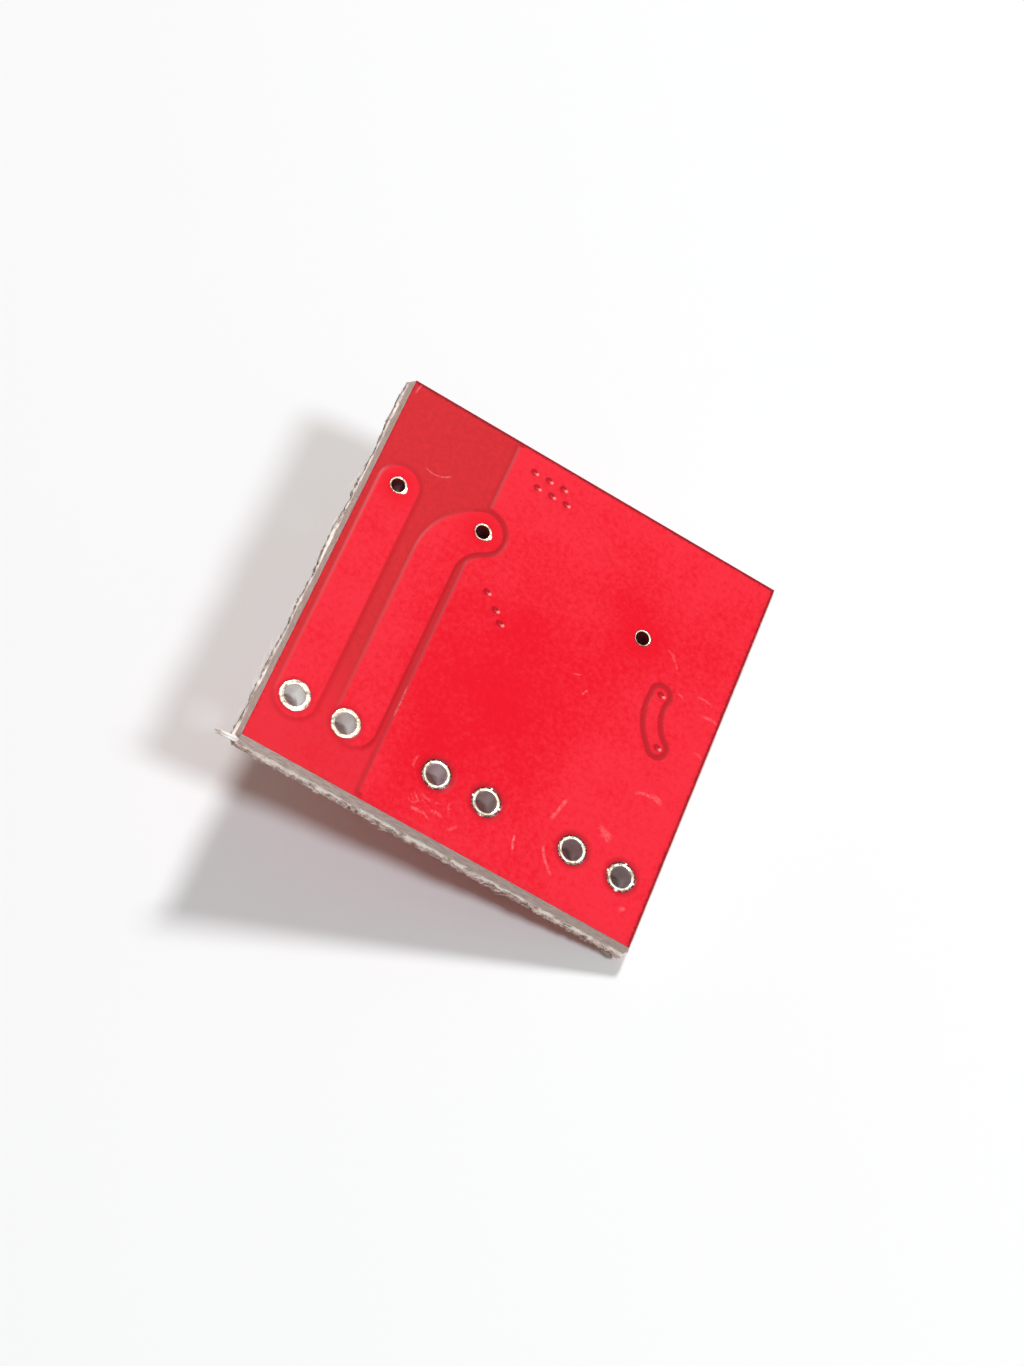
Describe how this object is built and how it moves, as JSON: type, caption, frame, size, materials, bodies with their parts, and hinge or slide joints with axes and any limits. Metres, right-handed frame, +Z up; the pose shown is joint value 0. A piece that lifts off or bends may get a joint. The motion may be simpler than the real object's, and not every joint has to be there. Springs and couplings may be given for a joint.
{
  "type": "microphone amplifier board",
  "caption": "Small square red circuit board with wire holes along one edge, surface-mounted amplifier parts on its front, lying back side up.",
  "frame": {"origin": "centre of the footprint of the whole board as it lies, on the surface that it lies on", "axes": "+Z up from the surface; +X towards the low end of the tilted board, where the microphone holes are; +Y from the row of wire holes across the board"},
  "size_m": [0.0197, 0.0204, 0.01],
  "materials": {
    "glass_fibre_laminate": "woven glass-fibre epoxy, matt, broken and fibrous along the edges",
    "copper_foil": "etched copper foil, satin",
    "solder_mask": "liquid solder mask, bright red, semi-gloss",
    "legend_ink": "white screen ink, matt",
    "tinned_plating": "hot-air levelled tin over copper, bright",
    "moulding_compound": "black moulded epoxy, fine matt",
    "can_aluminium": "drawn aluminium can, bright satin",
    "base_plastic": "black moulded plastic",
    "tinned_leads": "tin-plated lead frame, satin",
    "capacitor_ceramic": "fired tan ceramic, satin",
    "alumina": "white alumina, matt",
    "resistor_glass": "black glass overcoat, semi-gloss",
    "tinned_ends": "tin-plated terminations, satin",
    "solder_alloy": "tin solder, bright"
  },
  "bodies": {
    "root": {"woven_laminate": "glass_fibre_laminate", "back_plane": "copper_foil", "speaker_plus_track": "copper_foil", "speaker_minus_track": "copper_foil", "jumper_track": "copper_foil", "back_solder_mask": "solder_mask", "front_plane": "copper_foil", "supply_track": "copper_foil", "bias_track": "copper_foil", "microphone_track": "copper_foil", "base_track": "copper_foil", "collector_track": "copper_foil", "input_track": "copper_foil", "feedback_track": "copper_foil", "output_track": "copper_foil", "bypass_track": "copper_foil", "front_solder_mask": "solder_mask", "legend": "legend_ink", "speaker_plus_pad": "tinned_plating", "speaker_minus_pad": "tinned_plating", "supply_plus_pad": "tinned_plating", "supply_minus_pad": "tinned_plating", "microphone_plus_pad": "tinned_plating", "microphone_minus_pad": "tinned_plating", "speaker_plus_via": "tinned_plating", "speaker_minus_via": "tinned_plating", "ground_via": "tinned_plating", "small_vias": "copper_foil", "amplifier_chip_body": "moulding_compound", "amplifier_chip_leads": "tinned_leads", "bulk_capacitor_can": "can_aluminium", "bulk_capacitor_base": "base_plastic", "bulk_capacitor_leads": "tinned_leads", "transistor_body": "moulding_compound", "transistor_leads": "tinned_leads", "decoupling_capacitor_body": "capacitor_ceramic", "decoupling_capacitor_ends": "tinned_ends", "bias_capacitor_body": "capacitor_ceramic", "bias_capacitor_ends": "tinned_ends", "input_capacitor_body": "capacitor_ceramic", "input_capacitor_ends": "tinned_ends", "microphone_capacitor_body": "capacitor_ceramic", "microphone_capacitor_ends": "tinned_ends", "bypass_capacitor_body": "capacitor_ceramic", "bypass_capacitor_ends": "tinned_ends", "bias_resistor_body": "alumina", "bias_resistor_ends": "tinned_ends", "filter_resistor_body": "alumina", "filter_resistor_ends": "tinned_ends", "base_resistor_body": "alumina", "base_resistor_ends": "tinned_ends", "collector_resistor_body": "alumina", "collector_resistor_ends": "tinned_ends", "input_resistor_body": "alumina", "input_resistor_ends": "tinned_ends", "feedback_resistor_body": "alumina", "feedback_resistor_ends": "tinned_ends", "resistor_coats": "resistor_glass", "solder": "solder_alloy"}
  },
  "joints": []
}
